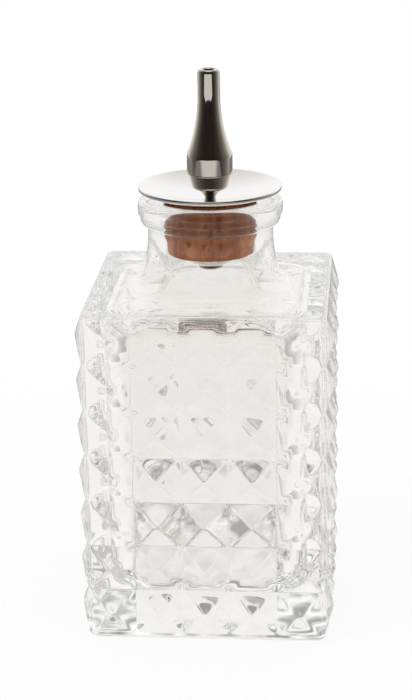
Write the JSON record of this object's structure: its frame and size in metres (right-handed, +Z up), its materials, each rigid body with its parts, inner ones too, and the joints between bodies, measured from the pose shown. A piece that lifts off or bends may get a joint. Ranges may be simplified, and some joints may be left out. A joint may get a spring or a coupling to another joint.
{
  "type": "bitters bottle",
  "caption": "Square pressed-glass bitters bottle with pyramid studs on its faces, and a cork stopper that carries a dished metal disc and a slender dasher spout.",
  "frame": {"origin": "centre of the bottle's flat base", "axes": "+Z up through the spout, -Y out of the face that is turned to the camera, +X to its right"},
  "size_m": [0.0542, 0.0542, 0.1193],
  "materials": {
    "clear_glass": "clear pressed glass",
    "natural_cork": "natural cork, pitted",
    "polished_metal": "mirror polish",
    "plain_steel": "drawn tube"
  },
  "bodies": {
    "bottle": {"bottle": "clear_glass"},
    "stopper": {"cork": "natural_cork", "cap_disc": "polished_metal", "spout_cup": "polished_metal", "spout_nozzle": "polished_metal", "feed_tube": "plain_steel", "foot_washer": "polished_metal"}
  },
  "joints": [
    {"name": "stopper_lift", "type": "slide", "parent": "bottle", "child": "stopper", "axis": [0, 0, 1], "range_m": [0, 0.022]}
  ]
}
